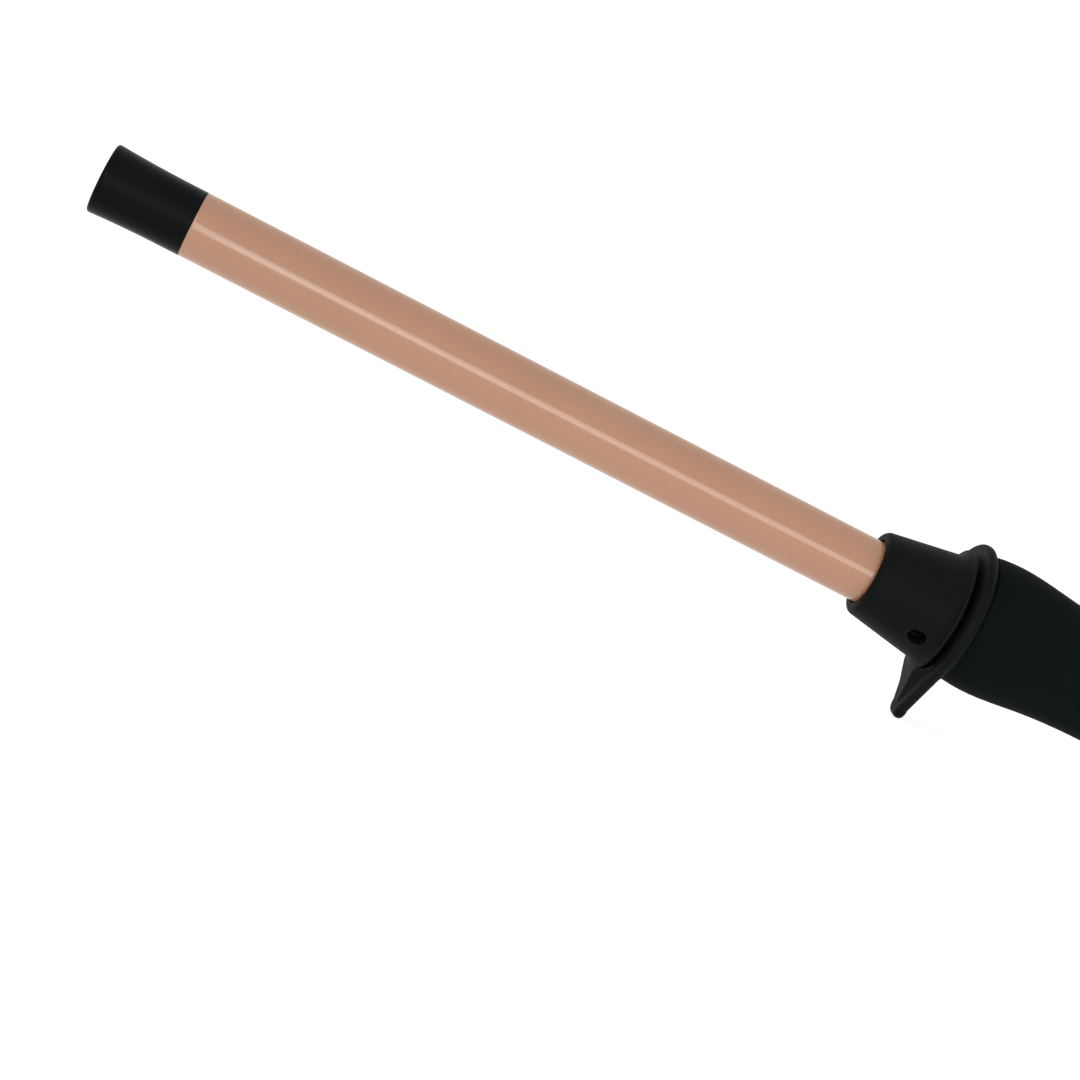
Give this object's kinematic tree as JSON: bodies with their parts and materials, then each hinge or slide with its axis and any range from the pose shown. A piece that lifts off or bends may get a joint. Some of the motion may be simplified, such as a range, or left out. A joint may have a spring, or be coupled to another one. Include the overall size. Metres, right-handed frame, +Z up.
{
  "type": "curling wand",
  "caption": "Slim clampless curling wand with a coated heated barrel, cool tip, stand prong, press keys and swivelling cord outlet.",
  "frame": {"origin": "on the table under the middle of the wand, as it lies on its stand prong and the rear end of its handle", "axes": "+X along the table from the cool tip towards the cord outlet, +Z up; the wand's own axis rises towards the tip"},
  "size_m": [0.3302, 0.03, 0.0446],
  "materials": {
    "heatproof_black": "satin",
    "rose_gold_coat": "satin",
    "mica": "matte",
    "extruded_aluminium": "satin",
    "ptc_ceramic": "matte",
    "brass_strip": "satin",
    "polyimide_film": "gloss",
    "spring_steel": "satin",
    "glass_bead": "gloss",
    "bush_resin": "matte",
    "black_screw_steel": "satin",
    "soft_touch_black": "matte",
    "panel_gloss": "gloss",
    "smoked_lens": "gloss",
    "key_rubber": "satin",
    "switch_black": "matte",
    "display_block": "matte",
    "board_green": "satin",
    "film_capacitor": "gloss",
    "component_black": "matte",
    "silicone_lead": "satin",
    "outlet_black": "satin"
  },
  "bodies": {
    "wand": {"cool_tip": "heatproof_black", "tip_washer": "mica", "barrel_tube": "rose_gold_coat", "heater_shoe_upper": "extruded_aluminium", "heater_shoe_lower": "extruded_aluminium", "ptc_plates": "ptc_ceramic", "electrodes": "brass_strip", "insulating_wrap": "polyimide_film", "shoe_spring": "spring_steel", "thermistor": "glass_bead", "barrel_bush": "bush_resin", "collar": "heatproof_black", "collar_screws": "black_screw_steel", "stand_ring": "heatproof_black", "handle_near": "soft_touch_black", "handle_far": "soft_touch_black", "handle_screws": "black_screw_steel", "control_panel": "panel_gloss", "display_lens": "smoked_lens", "display_module": "display_block", "control_board": "board_green", "switch_cases": "switch_black", "power_board": "board_green", "capacitor": "film_capacitor", "triac": "component_black", "mains_fuse": "glass_bead", "terminal_block": "component_black", "thermal_fuse": "spring_steel", "heater_leads": "silicone_lead", "sensor_leads": "silicone_lead", "mains_leads": "silicone_lead", "end_collar": "outlet_black", "contact_plate": "board_green", "contact_brushes": "brass_strip"},
    "minus_key": {"minus_button": "key_rubber", "minus_plunger": "switch_black"},
    "plus_key": {"plus_button": "key_rubber", "plus_plunger": "switch_black"},
    "power_key": {"power_button": "key_rubber", "power_plunger": "switch_black"},
    "cord_outlet": {"swivel": "outlet_black", "swivel_clip": "spring_steel", "slip_rings": "brass_strip"}
  },
  "joints": [
    {"name": "minus_press", "type": "slide", "parent": "wand", "child": "minus_key", "axis": [-0.0862, 0, -0.9963], "range_m": [0, 0.0005], "stiffness_N_per_m": 2500, "springref_m": -0.0001},
    {"name": "plus_press", "type": "slide", "parent": "wand", "child": "plus_key", "axis": [-0.0862, 0, -0.9963], "range_m": [0, 0.0005], "stiffness_N_per_m": 2500, "springref_m": -0.0001},
    {"name": "power_press", "type": "slide", "parent": "wand", "child": "power_key", "axis": [-0.0862, 0, -0.9963], "range_m": [0, 0.0005], "stiffness_N_per_m": 2500, "springref_m": -0.0001},
    {"name": "outlet_turn", "type": "hinge", "parent": "wand", "child": "cord_outlet", "pos_m": [0.15035, 0, 0.01167], "axis": [0.9963, 0, -0.0862], "continuous": true}
  ]
}
